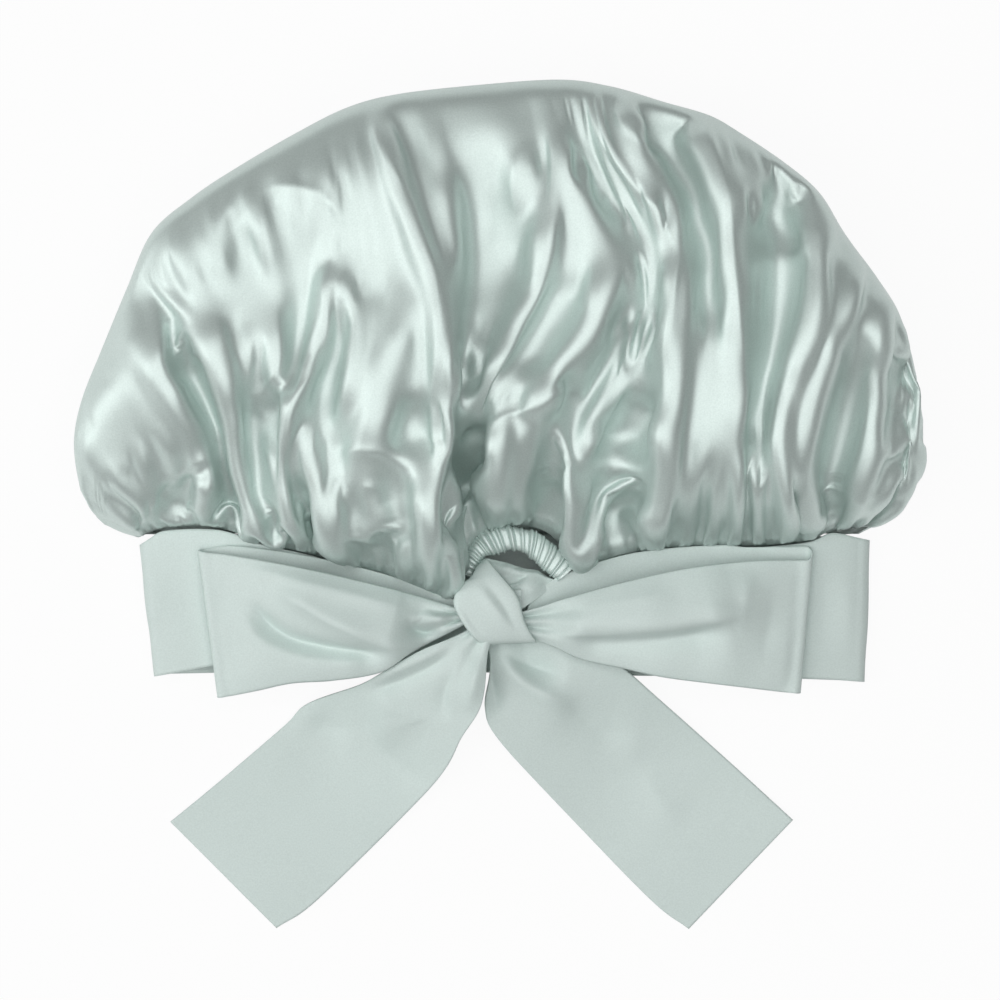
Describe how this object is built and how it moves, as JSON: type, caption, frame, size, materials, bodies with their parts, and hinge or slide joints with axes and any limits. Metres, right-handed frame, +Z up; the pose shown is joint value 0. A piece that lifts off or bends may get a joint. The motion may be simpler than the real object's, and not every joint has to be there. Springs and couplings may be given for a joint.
{
  "type": "hair bonnet",
  "caption": "Full satin hair bonnet laid flat on its back: gathered crown on a wide folded band whose ends tie in a bow below a ruched elastic casing.",
  "frame": {"origin": "on the face the bonnet lies on, under the middle of the crown's widest line", "axes": "+Z up from the table, through the bow's side; +Y from the band to the top of the crown; +X to the right as the picture shows it"},
  "size_m": [0.3428, 0.3449, 0.0662],
  "materials": {
    "satin": "glossy satin face",
    "dull_satin": "matte side of the satin",
    "elastic": "woven elastic"
  },
  "bodies": {
    "cap": {"crown": "satin", "head_band": "dull_satin", "elastic_casing": "satin", "elastic_tape": "elastic", "knot_wrap": "dull_satin", "knot_core": "dull_satin", "half_knot": "dull_satin"},
    "loop_left": {"left_loop": "dull_satin"},
    "loop_right": {"right_loop": "dull_satin"},
    "tail_left": {"left_tail": "dull_satin"},
    "tail_right": {"right_tail": "dull_satin"}
  },
  "joints": [
    {"name": "left_loop_lift", "type": "hinge", "parent": "cap", "child": "loop_left", "pos_m": [-0.0183, -0.066, 0.0247], "axis": [0, 1, 0], "range_deg": [0, 40]},
    {"name": "right_loop_lift", "type": "hinge", "parent": "cap", "child": "loop_right", "pos_m": [0.0183, -0.066, 0.0247], "axis": [0, -1, 0], "range_deg": [0, 40]},
    {"name": "left_tail_lift", "type": "hinge", "parent": "cap", "child": "tail_left", "pos_m": [-0.0068, -0.0833, 0.0244], "axis": [-0.6691, 0.7431, 0], "range_deg": [0, 35]},
    {"name": "right_tail_lift", "type": "hinge", "parent": "cap", "child": "tail_right", "pos_m": [0.0068, -0.0833, 0.0244], "axis": [-0.7193, -0.6947, 0], "range_deg": [0, 35]}
  ]
}
